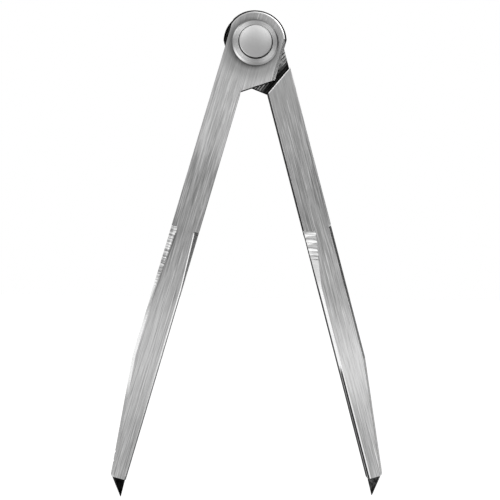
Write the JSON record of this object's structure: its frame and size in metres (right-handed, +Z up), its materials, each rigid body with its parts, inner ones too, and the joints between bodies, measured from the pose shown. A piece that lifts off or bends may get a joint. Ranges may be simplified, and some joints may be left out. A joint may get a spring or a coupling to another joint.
{
  "type": "marking divider",
  "caption": "Flat-leg steel marking divider: half-lapped legs with bevelled edges and hard points on a clamped pivot bolt.",
  "frame": {"origin": "centre of the pivot bolt's flat head face, on the pivot axis", "axes": "+Y along the pivot axis from the bolt head towards the nut; +Z up, away from the points; +X across, from the front leg's side to the rear leg's side"},
  "size_m": [0.1142, 0.0138, 0.2074],
  "materials": {
    "leg_steel": "brushed along the leg",
    "head_steel": "turned and satin",
    "hard_metal": "black, ground",
    "bronze": "rolled",
    "spring_steel": "tempered"
  },
  "bodies": {
    "front_leg_body": {"front_leg": "leg_steel", "front_point": "hard_metal", "pivot_bolt": "head_steel", "head_collar": "head_steel", "friction_disc": "bronze", "thrust_washer": "head_steel"},
    "rear_leg_body": {"rear_leg": "leg_steel", "rear_point": "hard_metal"},
    "spring_body": {"disc_spring": "spring_steel"},
    "nut_body": {"pin_nut": "head_steel"}
  },
  "joints": [
    {"name": "leg_hinge", "type": "hinge", "parent": "front_leg_body", "child": "rear_leg_body", "pos_m": [0, 0.0057, 0], "axis": [0, -1, 0], "range_deg": [-30.7, 149.3]},
    {"name": "spring_take_up", "type": "slide", "parent": "front_leg_body", "child": "spring_body", "axis": [0, -1, 0], "range_m": [-0.0001875, 0.0000625]},
    {"name": "nut_turn", "type": "hinge", "parent": "spring_body", "child": "nut_body", "pos_m": [0, 0.0121, 0], "axis": [0, -1, 0], "range_deg": [-90.1, 30.1]}
  ],
  "couplings": [
    {"joint": "nut_turn", "follows": "spring_take_up", "rad_per_m": 8377.6}
  ]
}
